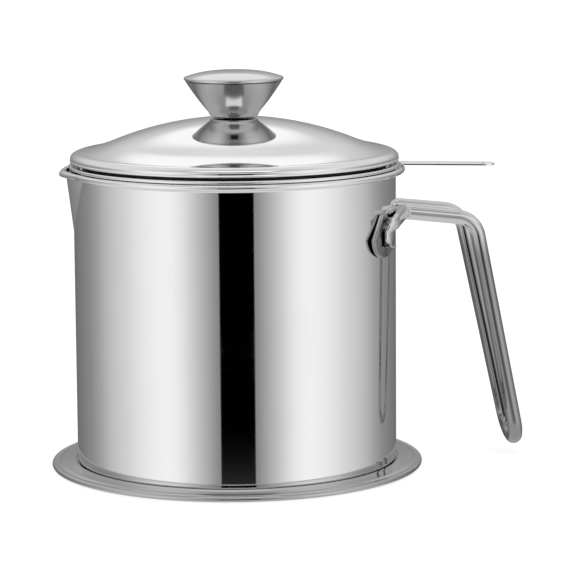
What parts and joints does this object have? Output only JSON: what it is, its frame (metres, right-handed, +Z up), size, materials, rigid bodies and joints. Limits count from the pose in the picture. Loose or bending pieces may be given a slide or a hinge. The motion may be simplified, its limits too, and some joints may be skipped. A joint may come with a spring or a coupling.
{
  "type": "bacon grease container",
  "caption": "Round steel grease pot with a pressed pouring spout, a fixed wire handle, a lift-out strainer with a flat strip handle, a domed lid with a conical knob, and a drip tray.",
  "frame": {"origin": "centre of the drip tray's flat underside", "axes": "+Z up, +X towards the wire handle, -X towards the pouring spout"},
  "size_m": [0.1806, 0.1404, 0.1491],
  "materials": {
    "polished_steel": "mirror-polished stainless steel",
    "satin_steel": "satin stainless steel",
    "zinc_steel": "zinc-plated steel hardware"
  },
  "bodies": {
    "tray": {"drip_tray": "polished_steel"},
    "pot": {"pot_body": "polished_steel", "handle_loop": "polished_steel", "handle_plate_front": "polished_steel", "handle_plate_rear": "polished_steel"},
    "strainer": {"strainer_basket": "satin_steel", "strainer_net": "satin_steel", "net_clamp_ring": "satin_steel", "strainer_handle": "satin_steel"},
    "lid": {"lid_shell": "polished_steel", "lid_locating_ring": "satin_steel", "knob_cone": "polished_steel", "knob_cap": "polished_steel", "knob_insert": "zinc_steel", "knob_screw": "zinc_steel", "knob_washer": "zinc_steel", "knob_spring_washer": "zinc_steel"}
  },
  "joints": [
    {"name": "pot_lift", "type": "slide", "parent": "tray", "child": "pot", "axis": [0, 0, 1], "range_m": [0, 0.05]},
    {"name": "strainer_lift", "type": "slide", "parent": "pot", "child": "strainer", "axis": [0, 0, 1], "range_m": [0, 0.06]},
    {"name": "lid_lift", "type": "slide", "parent": "strainer", "child": "lid", "axis": [0, 0, 1], "range_m": [0, 0.06]}
  ]
}
